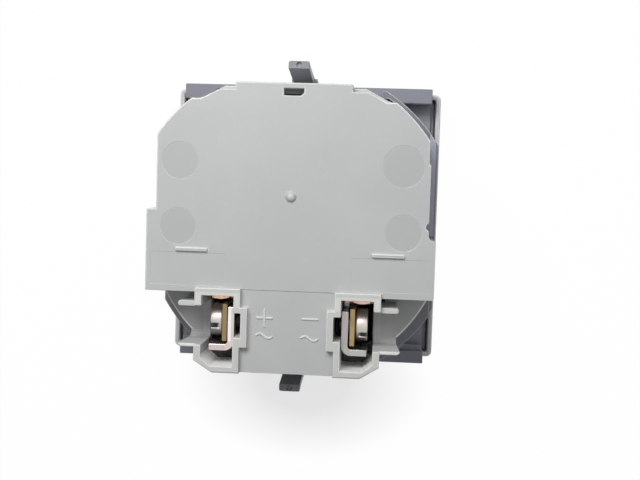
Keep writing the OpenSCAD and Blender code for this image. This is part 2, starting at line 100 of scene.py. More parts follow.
def done(piece):
    """Leaves edit mode and shades the piece smooth between its sharp edges."""
    bpy.ops.object.mode_set(mode="OBJECT")
    only(piece)
    bpy.ops.object.shade_smooth_by_angle(angle=DRAWN_SMOOTH)


def dress(piece, *materials):
    """Gives a piece or a node its materials, in place of those it has."""
    piece.data.materials.clear()
    for material in materials:
        piece.data.materials.append(material)


def place(piece, body, slot):
    """Gives a finished piece the body it moves with; its slot is not used."""
    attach(piece, body)


# Rounding the edges of a solid


def flat_regions(mesh):
    """Yields the sharp border of every flat region, each edge with its way into the region."""
    seen = set()
    for start in mesh.faces:
        if start in seen:
            continue
        seen.add(start)
        waiting, border = [start], []
        while waiting:
            face = waiting.pop()
            for loop in face.loops:
                side = loop.edge
                bend = side.calc_face_angle(0.0)
                if bend > SHARP:
                    along = loop.link_loop_next.vert.co - loop.vert.co
                    border.append((side, face.normal.cross(along).normalized()))
                elif bend < FLAT:
                    for other in side.link_faces:
                        if other not in seen:
                            seen.add(other)
                            waiting.append(other)
        yield border


def nearest(side, other):
    """The shortest way from one edge to another in the same plane."""
    ways = []
    for flip, (a, b) in ((1.0, (side, other)), (-1.0, (other, side))):
        foot, head = (v.co for v in b.verts)
        for v in a.verts:
            at, share = intersect_point_line(v.co, foot, head)
            at = foot if share < 0.0 else head if share > 1.0 else at
            ways.append(flip * (at - v.co))
    return min(ways, key=lambda way: way.length)


def heading(side):
    """The direction of an edge."""
    return (side.verts[1].co - side.verts[0].co).normalized()


def edge_rooms(mesh):
    """How wide each sharp edge may be rounded before its rounding meets another edge."""
    rooms = {side: WIDEST_ROOM for side in mesh.edges if side.calc_face_angle(0.0) > SHARP}
    for border in flat_regions(mesh):
        for number, (side, inward) in enumerate(border):
            for other, facing in border[:number]:
                if inward.dot(facing) > FACING or set(side.verts) & set(other.verts):
                    continue
                way = nearest(side, other)
                if way.dot(inward) > 0.0 > way.dot(facing):
                    rooms[side] = min(rooms[side], way.length)
                    rooms[other] = min(rooms[other], way.length)
    for side in rooms:
        along = heading(side)
        for corner in side.verts:
            for other in corner.link_edges:
                reach = other.other_vert(corner).co - corner.co
                run = abs(reach.normalized().dot(along))
                if other not in rooms:
                    rooms[side] = min(rooms[side], reach.length)
                elif run < RUNS_ON:
                    rooms[side] = min(rooms[side], reach.length * math.sqrt(1.0 - run * run))
    return rooms


def even_out(widths):
    """Gives edges that run on from one another the width of the tightest of them."""
    follow = {side: [] for side in widths}
    for side in widths:
        along = heading(side)
        for corner in side.verts:
            for other in corner.link_edges:
                if other != side and other in widths and abs(along.dot(heading(other))) >= RUNS_ON:
                    follow[side].append(other)
    waiting = sorted(widths, key=lambda side: widths[side])
    while waiting:
        side = waiting.pop(0)
        for other in follow[side]:
            if widths[other] > widths[side]:
                widths[other] = widths[side]
                waiting.append(other)


def cut_edges(mesh, cut_height):
    """Cuts each edge at the height that cut_height gives for its two ends, if it gives one."""
    for side in list(mesh.edges):
        low, high = sorted(side.verts, key=lambda v: v.co.z)
        height = cut_height(low.co / MM, high.co / MM)
        if height:
            bmesh.utils.edge_split(side, low, (height * MM - low.co.z) / (high.co.z - low.co.z))


def weigh_edges(mesh, width, wide_edge, held):
    """Writes each sharp edge's width as a share of the widest one, which it returns."""
    share = mesh.edges.layers.float.new("bevel_weight_edge")
    widths, kept = {}, {}
    for side, room in edge_rooms(mesh).items():
        wish = wide_edge(*(v.co / MM for v in side.verts)) if wide_edge else None
        widths[side] = min((wish or width) * MM, ROOM_SHARE * room)
        if held and wish:
            kept[side] = wish * MM
    even_out(widths)
    widths.update(kept)
    widest = max(widths.values())
    for side, given in widths.items():
        side[share] = given / widest
    return widest


def plain_hollows(piece):
    """Gives the roundings of hollow edges the material of the broad faces back."""
    mesh = edit(piece)
    for face in mesh.faces:
        if sum(side.calc_length() * side.calc_face_angle_signed(0.0) for side in face.edges) < 0.0:
            face.material_index = 0
    bmesh.update_edit_mesh(piece.data)
    bpy.ops.object.mode_set(mode="OBJECT")


def even_shading(piece):
    """Keeps broad faces flat where they meet their rounded edges."""
    only(piece)
    bpy.ops.object.shade_smooth_by_angle(angle=MOULDED_SMOOTH)
    even = piece.modifiers.new("even_shading", "WEIGHTED_NORMAL")
    even.weight = BROAD_FACE_WEIGHT
    even.keep_sharp = True
    bpy.ops.object.modifier_apply(modifier=even.name)


def soft_edged(node, name, materials, width, wide_edge, cut_height=None):
    """A merged copy of a node's shape with each sharp edge rounded as far as it has room.

    The roundings take the last of the materials. wide_edge tells for the two ends of an edge
    how wide that edge may be instead, and on a piece with cut edges that width is held."""
    piece = bpy.data.objects.new(name, NODES[node].data.copy())
    scene.collection.objects.link(piece)
    dress(piece, *materials)
    edit(piece)
    bpy.ops.mesh.select_all(action="SELECT")
    bpy.ops.mesh.remove_doubles(threshold=MERGE_GAP)
    bpy.ops.mesh.dissolve_limited(angle_limit=PLANE_ANGLE)
    mesh = bmesh.from_edit_mesh(piece.data)
    if cut_height:
        cut_edges(mesh, cut_height)
    widest = weigh_edges(mesh, width, wide_edge, held=bool(cut_height))
    bmesh.update_edit_mesh(piece.data)
    bpy.ops.object.mode_set(mode="OBJECT")
    only(piece)
    rounding = piece.modifiers.new("rounding", "BEVEL")
    rounding.limit_method = "WEIGHT"
    rounding.width = widest
    rounding.segments = ROUNDING_STEPS
    rounding.use_clamp_overlap = False
    rounding.material = len(materials) - 1
    bpy.ops.object.modifier_apply(modifier=rounding.name)
    plain_hollows(piece)
    even_shading(piece)
    return piece


# Shader building


def new_material(name):
    """A material with an empty Principled surface."""
    material = bpy.data.materials.new(name)
    material.use_nodes = True
    return material


def surface(material):
    """The node tree of a material and the shader in it."""
    return material.node_tree, material.node_tree.nodes["Principled BSDF"]


def feed(tree, socket, value):
    """Links a socket to another one, or sets it to a number or to a colour without its alpha."""
    if isinstance(value, bpy.types.NodeSocket):
        tree.links.new(value, socket)
    else:
        socket.default_value = (*value, 1.0) if isinstance(value, tuple) else value


def object_place(tree):
    """The place on the piece, in metres."""
    return tree.nodes.new("ShaderNodeTexCoord").outputs["Object"]


def math_node(tree, operation, *values):
    """A sum of numbers or sockets."""
    node = tree.nodes.new("ShaderNodeMath")
    node.operation = operation
    for socket, value in zip(node.inputs, values):
        feed(tree, socket, value)
    return node.outputs[0]


def vector_node(tree, operation, vector, by=None):
    """A sum of a place and a plain vector, and for LENGTH and DISTANCE a number."""
    node = tree.nodes.new("ShaderNodeVectorMath")
    node.operation = operation
    tree.links.new(vector, node.inputs[0])
    if by is not None:
        node.inputs[1].default_value = by
    return node.outputs["Value" if operation in ("LENGTH", "DISTANCE") else "Vector"]


def colour_mix(tree, factor, low, high):
    """A colour between two others."""
    node = tree.nodes.new("ShaderNodeMix")
    node.data_type = "RGBA"
    # The sockets that this node keeps for colours
    for number, value in ((0, factor), (6, low), (7, high)):
        feed(tree, node.inputs[number], value)
    return node.outputs[2]


def noise(tree, vector, scale, detail, roughness=0.55, distortion=0.0):
    """A cloudy value from 0 to 1."""
    node = tree.nodes.new("ShaderNodeTexNoise")
    for label, value in (("Scale", scale), ("Detail", detail), ("Roughness", roughness),
                         ("Distortion", distortion)):
        feed(tree, node.inputs[label], value)
    tree.links.new(vector, node.inputs["Vector"])
    return node.outputs["Fac"]


def spread(tree, value, low, high, to_low=0.0, to_high=1.0):
    """A value brought from one range to another and kept inside it."""
    node = tree.nodes.new("ShaderNodeMapRange")
    for label, number in (("From Min", low), ("From Max", high), ("To Min", to_low), ("To Max", to_high)):
        node.inputs[label].default_value = number
    tree.links.new(value, node.inputs["Value"])
    return node.outputs["Result"]


def bump(tree, shader, height, depth):
    """Fine relief of the given depth."""
    node = tree.nodes.new("ShaderNodeBump")
    node.inputs["Distance"].default_value = depth * MM
    tree.links.new(height, node.inputs["Height"])
    tree.links.new(node.outputs["Normal"], shader.inputs["Normal"])


def repaint(material, mask, colour):
    """Lays a colour over the present one where the mask is 1."""
    tree, shader = surface(material)
    old = shader.inputs["Base Color"].links[0].from_socket
    tree.links.new(colour_mix(tree, mask, old, colour), shader.inputs["Base Color"])


def new_group(name, inputs, outputs):
    """An empty node group with its input and output nodes."""
    group = bpy.data.node_groups.new(name, "ShaderNodeTree")
    for label, value in inputs:
        socket = group.interface.new_socket(label, in_out="INPUT", socket_type="NodeSocketFloat")
        socket.default_value = value
    for label in outputs:
        group.interface.new_socket(label, in_out="OUTPUT", socket_type="NodeSocketFloat")
    return group, group.nodes.new("NodeGroupInput"), group.nodes.new("NodeGroupOutput")


def use_group(tree, group, **values):
    """Places a node group with its own values and returns its outputs."""
    node = tree.nodes.new("ShaderNodeGroup")
    node.node_tree = group
    for label, value in values.items():
        node.inputs[label].default_value = value
    return node.outputs


# Finishes that several materials share

# Fineness of their patterns, in cells to the metre
GRAIN = 5200.0
FLOW = 70.0
SPECKS = 900.0
LINES = 2600.0
CLOUD = 420.0
FILM = 380.0
HAZE = 260.0
# Depth of their relief
MOULDED_RELIEF = 0.012
SHEET_RELIEF = 0.008
PLATED_RELIEF = 0.004


def moulded_skin_group():
    """Fine spark-eroded grain, slow flow tone and a few rubbed specks, for moulded plastics."""
    group, given, result = new_group(
        "moulded_skin", (("Grain", GRAIN), ("Flow", FLOW)), ("Height", "Tone", "Rub"))
    where = object_place(group)
    grain = noise(group, where, given.outputs["Grain"], detail=2.0, roughness=0.5)
    flow = noise(group, where, given.outputs["Flow"], detail=4.0, roughness=0.5, distortion=0.6)
    rubbed = noise(group, where, SPECKS, detail=5.0, roughness=0.7)
    tone = math_node(group, "MULTIPLY_ADD", spread(group, flow, 0.3, 0.7), 0.8, 0.1)
    group.links.new(grain, result.inputs["Height"])
    group.links.new(tone, result.inputs["Tone"])
    group.links.new(spread(group, rubbed, 0.58, 0.75), result.inputs["Rub"])
    return group


def sheet_metal_group():
    """Drawn lines along one axis and cloudy plating, for stamped and turned metal."""
    group, given, result = new_group(
        "sheet_metal", (("Lines", LINES), ("Cloud", CLOUD)), ("Height", "Cloudy", "Streak"))
    where = object_place(group)
    squeezed = vector_node(group, "MULTIPLY", where, (1.0, 0.06, 1.0))
    lines = noise(group, squeezed, given.outputs["Lines"], detail=3.0, roughness=0.5)
    cloud = noise(group, where, given.outputs["Cloud"], detail=5.0, roughness=0.5)
    group.links.new(lines, result.inputs["Height"])
    group.links.new(spread(group, cloud, 0.35, 0.65), result.inputs["Cloudy"])
    group.links.new(spread(group, lines, 0.4, 0.7), result.inputs["Streak"])
    return group


MOULDED_SKIN = moulded_skin_group()
SHEET_METAL = sheet_metal_group()


def plastic(name, dark, light, rubbed, rough, grain=GRAIN, flow=FLOW):
    """A moulded plastic between two tones, with a rubbed colour in specks."""
    material = new_material(name)
    tree, shader = surface(material)
    skin = use_group(tree, MOULDED_SKIN, Grain=grain, Flow=flow)
    body = colour_mix(tree, skin["Tone"], dark, light)
    rub = math_node(tree, "MULTIPLY", skin["Rub"], 0.35)
    tree.links.new(colour_mix(tree, rub, body, rubbed), shader.inputs["Base Color"])
    tree.links.new(spread(tree, skin["Height"], 0.3, 0.7, rough - 0.06, rough + 0.08),
                   shader.inputs["Roughness"])
    bump(tree, shader, skin["Height"], MOULDED_RELIEF)
    return material


def metal(name, low, high, streak, rough, lines=LINES):
    """A plated or drawn metal between two tints, with streaks along its sheet."""
    material = new_material(name)
    tree, shader = surface(material)
    sheet = use_group(tree, SHEET_METAL, Lines=lines, Cloud=CLOUD)
    body = colour_mix(tree, sheet["Cloudy"], low, high)
    mask = math_node(tree, "MULTIPLY", sheet["Streak"], 0.4)
    tree.links.new(colour_mix(tree, mask, body, streak), shader.inputs["Base Color"])
    tree.links.new(spread(tree, sheet["Height"], 0.3, 0.7, rough - 0.08, rough + 0.1),
                   shader.inputs["Roughness"])
    shader.inputs["Metallic"].default_value = 1.0
    bump(tree, shader, sheet["Height"], SHEET_RELIEF)
    return material


def passivated_zinc(name, shade, rough):
    """Bright zinc with a thin passivation film that runs from blue through straw to rose."""
    material = new_material(name)
    tree, shader = surface(material)
    sheet = use_group(tree, SHEET_METAL, Lines=LINES, Cloud=CLOUD)
    film = tree.nodes.new("ShaderNodeValToRGB")
    tints = ((0.3, (0.46, 0.51, 0.56)), (0.45, (0.6, 0.58, 0.53)), (0.58, (0.62, 0.5, 0.48)),
             (0.72, (0.46, 0.54, 0.49)))
    while len(film.color_ramp.elements) < len(tints):
        film.color_ramp.elements.new(0.5)
    for stop, (at, hue) in zip(film.color_ramp.elements, tints):
        stop.position = at
        stop.color = (*(shade * part for part in hue), 1.0)
    tree.links.new(noise(tree, object_place(tree), FILM, detail=2.0), film.inputs["Fac"])
    mask = math_node(tree, "MULTIPLY", sheet["Streak"], 0.25)
    tree.links.new(colour_mix(tree, mask, film.outputs["Color"], (0.5, 0.47, 0.42)),
                   shader.inputs["Base Color"])
    tree.links.new(spread(tree, sheet["Height"], 0.3, 0.7, rough - 0.08, rough + 0.08),
                   shader.inputs["Roughness"])
    shader.inputs["Metallic"].default_value = 1.0
    bump(tree, shader, sheet["Height"], PLATED_RELIEF)
    return material


# Tints for a part of a piece. A zone gives ranges along X on either side of zero, x from left to
# right, Y, Z, or R away from the axis of the round corners.

ZONE_BLUR = 0.03


def between(tree, where, axis, low, high):
    """1 where a place lies between two values along one axis of a zone, 0 elsewhere."""
    if axis == "R":
        gap = vector_node(tree, "SUBTRACT", where, (CORNER_AXIS_X * MM, 0.0, 0.0))
        flat = vector_node(tree, "MULTIPLY", gap, (1.0, 1.0, 0.0))
        value = vector_node(tree, "LENGTH", flat)
    else:
        split = tree.nodes.new("ShaderNodeSeparateXYZ")
        tree.links.new(where, split.inputs[0])
        value = split.outputs[axis.upper()]
    if axis == "X":
        value = math_node(tree, "ABSOLUTE", value)
    over = spread(tree, value, (low - ZONE_BLUR) * MM, (low + ZONE_BLUR) * MM)
    under = spread(tree, value, (high - ZONE_BLUR) * MM, (high + ZONE_BLUR) * MM, 1.0, 0.0)
    return math_node(tree, "MULTIPLY", over, under)


def tint(material, colour, share, **zone):
    """Another colour, laid on by a share, on the part of a piece that lies in the zone."""
    tree = material.node_tree
    where = object_place(tree)
    mask = share
    for axis, (low, high) in zone.items():
        mask = math_node(tree, "MULTIPLY", between(tree, where, axis, low, high), mask)
    repaint(material, mask, colour)


# Grey mouldings

# Middle and radius of the discs where the mould pins pressed
EJECTOR_MARKS = ((-17.27, 10.17, 2.9), (17.1, 10.17, 3.25), (-17.37, 0.06, 2.85), (17.37, 0.06, 2.85))
MARK_RIM = 0.25
# Ranges of the zones on the cover
RIM_HEIGHT = (36.5, 39)
DECK_HEIGHT = (27.9, 28.1)
TERMINAL_END = (-24, -10.3)
CHAMBER_WIDTH = (8.2, 13.3)
WELL_LENGTH = (-21.7, -17)


def add_ejector_marks(material):
    """Slightly darker discs on the cover plate."""
    tree = material.node_tree
    where = object_place(tree)
    marks = 0.0
    for x, y, radius in EJECTOR_MARKS:
        away = vector_node(tree, "DISTANCE", where, (x * MM, y * MM, COVER_FACE * MM))
        inside = spread(tree, away, radius * MM, (radius - MARK_RIM) * MM)
        marks = math_node(tree, "MAXIMUM", inside, marks)
    repaint(material, math_node(tree, "MULTIPLY", marks, 0.5), (0.44, 0.455, 0.45))


def grey_cover_plastic():
    """The grey of the cover, with painted highlights on the rims and the deck border, painted light on the
    chamber feet and painted shade on the deck and in the wells.
    """
    material = plastic(
        "grey_cover_plastic", (0.515, 0.523, 0.522), (0.565, 0.573, 0.572), (0.62, 0.625, 0.62), 0.5)
    add_ejector_marks(material)
    # Painted highlight: the rims of the chambers and the tops of the ribs and lips are painted paler
    rubbed = (0.65, 0.655, 0.62)
    tint(material, rubbed, 0.9, Z=RIM_HEIGHT)
    tint(material, rubbed, 0.9, Y=(-19, -10.6), Z=(35.94, 36.5))
    # More so the rims along the ledge, and most the lips of the driver channels, as painted highlight
    tint(material, (0.76, 0.765, 0.72), 0.9, Y=(-12.2, -10), Z=RIM_HEIGHT)
    tint(material, (0.91, 0.915, 0.86), 0.9, X=(14.3, 18.5), Y=(-19, -17.9), Z=(35.9, 36.3))
    # Painted shade darkens the deck, deep below the ledge, and a painted highlight runs along its border
    tint(material, (0.36, 0.365, 0.36), 0.4, Y=TERMINAL_END, Z=DECK_HEIGHT)
    tint(material, (0.95, 0.95, 0.93), 0.9, R=(23.75, 24.1), Y=(-17.1, -10.3), Z=DECK_HEIGHT)
    # Painted light brightens the foot wall of a chamber, and painted shadow of the lug darkens the well in
    # its floor, higher up on the left
    tint(material, (0.95, 0.96, 0.94), 1.0, X=CHAMBER_WIDTH, Y=(-21.45, -19.7), Z=(28.2, 36.9))
    left_width = tuple(-x for x in reversed(CHAMBER_WIDTH))
    tint(material, (0.05, 0.05, 0.06), 0.9, x=left_width, Y=WELL_LENGTH, Z=(20, 29.2))
    tint(material, (0.07, 0.07, 0.08), 0.9, x=CHAMBER_WIDTH, Y=WELL_LENGTH, Z=(20, 28.1))
    return material


def grey_rubbed_edge():
    """The grey of the edges, paler than the faces as edge wear and painted highlight, with a bright painted
    highlight along the deck and dimmest at the plain end.
    """
    material = plastic(
        "grey_rubbed_edge", (0.72, 0.73, 0.71), (0.8, 0.81, 0.78), (0.86, 0.86, 0.84), 0.4)
    # Painted highlight along the border of the deck
    tint(material, (0.97, 0.97, 0.96), 1.0, R=(23.5, 24.2), Y=TERMINAL_END, Z=(27.5, 29))
    # The painted highlight is dimmer along the plain end
    tint(material, (0.6, 0.61, 0.6), 0.8, Y=(20.3, 24), Z=(35.6, 36.1))
    return material


GREY_COVER = grey_cover_plastic()
GREY_EDGE = grey_rubbed_edge()
# The raised signs are paler than the cover
GREY_SIGN = plastic(
    "grey_pale_sign", (0.7, 0.71, 0.7), (0.78, 0.79, 0.77), (0.86, 0.86, 0.84), 0.42)
GREY_BEZEL = plastic(
    "grey_bezel_plastic", (0.55, 0.56, 0.555), (0.6, 0.605, 0.6), (0.66, 0.66, 0.65), 0.45)

# Black mouldings, with painted light on top of the collar, on the right of the flange, on the upper clamp bar
# and on the upper lever, and a painted highlight on the housing rim at the plain end

UPPER_BAR = (20, 26)
BLACK_CASE = plastic(
    "black_case_plastic", (0.15, 0.153, 0.178), (0.19, 0.193, 0.222), (0.24, 0.24, 0.26), 0.38,
    grain=4200.0)
# Painted light on the top of the collar at the right, where the cover shades it, and on the right of the
# flange
tint(BLACK_CASE, (0.44, 0.445, 0.56), 0.8, X=(21.3, 23), Z=(26.6, 27.4))
tint(BLACK_CASE, (0.32, 0.325, 0.37), 0.9, x=(15, 25), Z=(3, 8))
BLACK_CLAMP = plastic(
    "black_clamp_plastic", (0.165, 0.17, 0.205), (0.215, 0.22, 0.26), (0.27, 0.27, 0.3), 0.36,
    grain=3600.0)
# Painted light: the upper bar is painted lighter, more so on the right
tint(BLACK_CLAMP, (0.236, 0.241, 0.29), 0.5, Y=UPPER_BAR)
tint(BLACK_CLAMP, (0.266, 0.272, 0.325), 0.8, x=(5, 25), Y=UPPER_BAR)
BLACK_LEVER = plastic(
    "black_lever_plastic", (0.14, 0.146, 0.162), (0.215, 0.22, 0.24), (0.33, 0.33, 0.35), 0.36,
    grain=3000.0, flow=420.0)
# Painted light: the upper lever is painted lighter than the lower one, which lies in shade
tint(BLACK_LEVER, (0.295, 0.305, 0.335), 0.7, Y=(0, 30))
# Edges paler as edge wear and painted highlight
BLACK_EDGE = plastic(
    "black_edge_wear_and_highlight", (0.21, 0.21, 0.23), (0.27, 0.27, 0.29), (0.36, 0.36, 0.36), 0.38)
# Painted highlight along the housing rim at the plain end
tint(BLACK_EDGE, (0.5, 0.5, 0.49), 0.9, X=(14, 23), Y=(14.4, 30), Z=(26.4, 28))

# Plastics of the works

FRAME_PLASTIC = plastic("frame_plastic", (0.46, 0.43, 0.34), (0.53, 0.5, 0.41), (0.6, 0.58, 0.5), 0.5)
BOBBIN_PLASTIC = plastic("bobbin_plastic", (0.03, 0.08, 0.04), (0.05, 0.12, 0.06), (0.1, 0.15, 0.1), 0.45)
GEAR_NYLON = plastic("gear_nylon", (0.66, 0.6, 0.4), (0.73, 0.68, 0.48), (0.8, 0.77, 0.62), 0.42)
DRUM_WHITE = plastic("drum_white", (0.78, 0.78, 0.75), (0.84, 0.84, 0.81), (0.7, 0.69, 0.66), 0.45)
DRUM_RED = plastic("drum_red", (0.4, 0.02, 0.018), (0.5, 0.03, 0.025), (0.55, 0.1, 0.08), 0.45)
LEAD_SLEEVE = plastic("lead_sleeve", (0.26, 0.02, 0.018), (0.34, 0.035, 0.03), (0.4, 0.1, 0.08), 0.4)
MAGNET = plastic("magnet_ferrite", (0.04, 0.04, 0.045), (0.06, 0.06, 0.066), (0.12, 0.12, 0.12), 0.5)
NUMERAL_INK = plastic("numeral_ink", (0.012, 0.012, 0.013), (0.02, 0.02, 0.022), (0.05, 0.05, 0.05), 0.5)

# Metals, with the left brass plate painted darker than the right one as painted shade

BRASS_SHEET = metal("brass_sheet", (0.3, 0.225, 0.115), (0.4, 0.3, 0.155), (0.2, 0.13, 0.06), 0.42)
# Painted shade on the left brass plate
tint(BRASS_SHEET, (0.254, 0.19, 0.098), 0.8, x=(-14, -8))
SHAFT_STEEL = metal("shaft_steel", (0.55, 0.55, 0.54), (0.65, 0.65, 0.63), (0.45, 0.45, 0.44), 0.25)
STATOR_STEEL = metal("stator_steel", (0.42, 0.42, 0.44), (0.52, 0.52, 0.54), (0.35, 0.34, 0.34), 0.35)
COPPER_WIRE = metal(
    "copper_wire", (0.42, 0.16, 0.07), (0.52, 0.22, 0.1), (0.3, 0.1, 0.04), 0.35, lines=5200.0)
# Painted shade: the tips of the screws are painted dark behind the lugs, where they lie in shadow
ZINC_STEEL = passivated_zinc("zinc_steel", 0.86, 0.42)
tint(ZINC_STEEL, (0.03, 0.03, 0.035), 0.95, X=(0, 8.45))

WEB_LENGTH = (-17.8, -11.7)


def lug_zinc(name, shade, outer_web, inner_web, lower_leg):
    """The zinc of one lug, rose-coloured on its upper leg, with painted light and shade on its web and lower
    leg.
    """
    material = passivated_zinc(name, shade, 0.28)
    tint(material, (0.85, 0.5, 0.36), 0.85, Y=(-11.7, 0))
    # Painted light and shade across the web and on the lower leg
    tint(material, outer_web, 0.7, X=(8.85, 9.6), Y=WEB_LENGTH)
    tint(material, inner_web, 0.5, X=(8, 8.85), Y=WEB_LENGTH)
    tint(material, lower_leg, 0.8, X=(9.8, 13), Y=(-20, -18))
    return material


# The left lug is painted lighter and the right lug darker, as painted light and painted shade on one zinc
LEFT_LUG_ZINC = lug_zinc(
    "left_lug_zinc", 1.1, (0.9, 0.9, 0.97), (0.6, 0.55, 0.48), (0.58, 0.48, 0.49))
RIGHT_LUG_ZINC = lug_zinc(
    "right_lug_zinc", 0.68, (0.38, 0.37, 0.38), (0.34, 0.34, 0.34), (0.44, 0.44, 0.44))

# Dial and window

OPENING_HALF_WIDTH = 12.5
OPENING_HALF_HEIGHT = 2.5
LINE_AWAY = 0.6
LINE_HALF = 0.15


def dial_print_material():
    """A dark dial with a fine pale line round the number opening."""
    material = plastic("dial_print", (0.02, 0.02, 0.022), (0.03, 0.03, 0.033), (0.06, 0.06, 0.06), 0.55)
    tree = material.node_tree
    split = tree.nodes.new("ShaderNodeSeparateXYZ")
    tree.links.new(object_place(tree), split.inputs[0])
    across = math_node(tree, "ABSOLUTE", split.outputs["X"])
    beside = math_node(tree, "SUBTRACT", across, OPENING_HALF_WIDTH * MM)
    upward = math_node(tree, "ABSOLUTE", math_node(tree, "SUBTRACT", split.outputs["Y"], DRUM_AXIS_Y * MM))
    above = math_node(tree, "SUBTRACT", upward, OPENING_HALF_HEIGHT * MM)
    away = math_node(tree, "MAXIMUM", beside, above)
    repaint(material, math_node(tree, "COMPARE", away, LINE_AWAY * MM, LINE_HALF * MM), (0.75, 0.75, 0.73))
    return material


def clear_window_material():
    """Clear acrylic with a faint haze."""
    material = new_material("clear_window")
    tree, shader = surface(material)
    shader.inputs["Transmission Weight"].default_value = 1.0
    shader.inputs["IOR"].default_value = 1.49
    haze = noise(tree, object_place(tree), HAZE, detail=4.0)
    tree.links.new(spread(tree, haze, 0.4, 0.75, 0.01, 0.06), shader.inputs["Roughness"])
    tree.links.new(colour_mix(tree, haze, (0.96, 0.98, 0.98), (0.99, 0.99, 0.99)),
                   shader.inputs["Base Color"])
    return material


DIAL_PRINT = dial_print_material()
CLEAR_WINDOW = clear_window_material()

# Solids that keep their own shape

KEPT = {
    "window_lens": CLEAR_WINDOW, "dial_plate": DIAL_PRINT, "left_coil_lead": LEAD_SLEEVE,
    "right_coil_lead": LEAD_SLEEVE, "left_side_plate": FRAME_PLASTIC, "right_side_plate": FRAME_PLASTIC,
    "tie_rods": SHAFT_STEEL, "gear_studs": SHAFT_STEEL, "drum_shaft": SHAFT_STEEL,
    "pinion_shaft": SHAFT_STEEL, "left_stator_cup": STATOR_STEEL, "right_stator_cup": STATOR_STEEL,
    "coil_bobbin": BOBBIN_PLASTIC, "coil_winding": COPPER_WIRE, "rotor_magnet": MAGNET,
    "rotor_shaft": SHAFT_STEEL, "first_gear": GEAR_NYLON, "second_gear": GEAR_NYLON,
    "third_gear": GEAR_NYLON, "drum_gear": GEAR_NYLON}
for number in range(1, DRUM_COUNT + 1):
    KEPT["digit_drum_%d" % number] = DRUM_RED if number <= RED_DRUMS else DRUM_WHITE
for number in range(1, DRUM_COUNT):
    KEPT["transfer_pinion_%d" % number] = GEAR_NYLON
for node, material in KEPT.items():
    dress(NODES[node], material)

# Solids that show from outside get soft moulded or stamped edges

# Where the rules for single edges act
LEVER_CUT = 25.5
LEVER_CORNER_LENGTH = 8.0
LEVER_CORNER_Y = 25.5
LEVER_TIP_Y = 26.0
LEVER_SIDE_X = 1.5
CHAMBER_FOOT_Y = -21.45
DECK_RIM = 0.5
PLAIN_END_Y = -3.0
NEARLY = 0.05
# Widths of the roundings that differ from the rest of their piece
LEVER_TIP_ROUND = 0.4
COLLAR_ROUND = 0.14
CHAMBER_FOOT_ROUND = 0.45
DECK_ROUND = 0.3
PLAIN_END_ROUND = 0.22


def lever_corner_cut(low, high):
    """The two outer corners of a lever blade are cut below its tip."""
    corner = high.z - low.z > LEVER_CORNER_LENGTH and abs(low.y + high.y) / 2 > LEVER_CORNER_Y
    return LEVER_CUT if corner else None


def lever_tip_corner(a, b):
    """The two outer corners of a lever tip are rounder than its other edges."""
    at_side = min(abs(a.x), abs(b.x)) > LEVER_SIDE_X and a.x * b.x > 0
    outer = min(abs(a.y), abs(b.y)) > LEVER_TIP_Y
    return LEVER_TIP_ROUND if at_side and outer and min(a.z, b.z) > LEVER_CUT - NEARLY else None


def lies_at(a, b, height):
    """Whether both ends of an edge lie at a height."""
    return max(abs(a.z - height), abs(b.z - height)) < NEARLY


def collar_edge(a, b):
    """The upper edges of the collar are finer than the other edges of the housing."""
    return COLLAR_ROUND if min(a.z, b.z) > COLLAR_TOP - NEARLY else None


def cover_edge(a, b):
    """The rims of the chamber feet, the deck and the plain end of the plate are rounder than the rest."""
    middle = (a + b) / 2
    if lies_at(a, b, CHAMBER_TOP) and middle.y < CHAMBER_FOOT_Y:
        return CHAMBER_FOOT_ROUND
    if lies_at(a, b, DECK) and math.hypot(middle.x - CORNER_AXIS_X, middle.y) > DECK_RADIUS - DECK_RIM:
        return DECK_ROUND
    if lies_at(a, b, COVER_FACE) and middle.y > PLAIN_END_Y:
        return PLAIN_END_ROUND
    return None


# Node, piece, body, slot, materials, width of the rounding, and rules for single edges
SOFTENED = (
    ("back_cover", "cover_moulding", "case", "grey_plastic", (GREY_COVER, GREY_EDGE), 0.16, cover_edge),
    ("front_bezel", "bezel_moulding", "case", "grey_plastic", (GREY_BEZEL, GREY_EDGE), 0.35, None),
    ("main_housing", "housing_moulding", "case", "black_plastic", (BLACK_CASE, BLACK_EDGE), 0.2, collar_edge),
    ("clamp_frame", "clamp_moulding", "clamp", "black_plastic", (BLACK_CLAMP, BLACK_EDGE), 0.18, None),
    ("upper_latch_lever", "upper_lever_moulding", "upper_lever", "black_plastic",
     (BLACK_LEVER, BLACK_EDGE), 0.14, lever_tip_corner, lever_corner_cut),
    ("lower_latch_lever", "lower_lever_moulding", "lower_lever", "black_plastic",
     (BLACK_LEVER, BLACK_EDGE), 0.14, lever_tip_corner, lever_corner_cut),
    ("left_terminal_lug", "left_lug_strip", "case", "zinc_steel", (LEFT_LUG_ZINC,), 0.14, None),
    ("right_terminal_lug", "right_lug_strip", "case", "zinc_steel", (RIGHT_LUG_ZINC,), 0.14, None),
    ("left_clamp_plate", "left_clamp_stamping", "left_clamp", "brass_sheet", (BRASS_SHEET,), 0.1, None),
    ("right_clamp_plate", "right_clamp_stamping", "right_clamp", "brass_sheet", (BRASS_SHEET,), 0.1, None),
    ("left_terminal_screw", "left_cheese_screw", "left_screw", "zinc_steel", (ZINC_STEEL,), 0.3, None),
    ("right_terminal_screw", "right_cheese_screw", "right_screw", "zinc_steel", (ZINC_STEEL,), 0.3, None))
for node, name, body, slot, materials, width, *rules in SOFTENED:
    moulding = soft_edged(node, name, materials, width, *rules)
    place(moulding, body, slot)
    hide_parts(node)

# Raised signs on the centre block

SIGN_SUNK = 0.05
SIGN_FOOT = BLOCK_FACE - SIGN_SUNK
SIGN_WIDE = 0.34
SIGN_SWING = 0.34
SIGN_WALL = 0.12
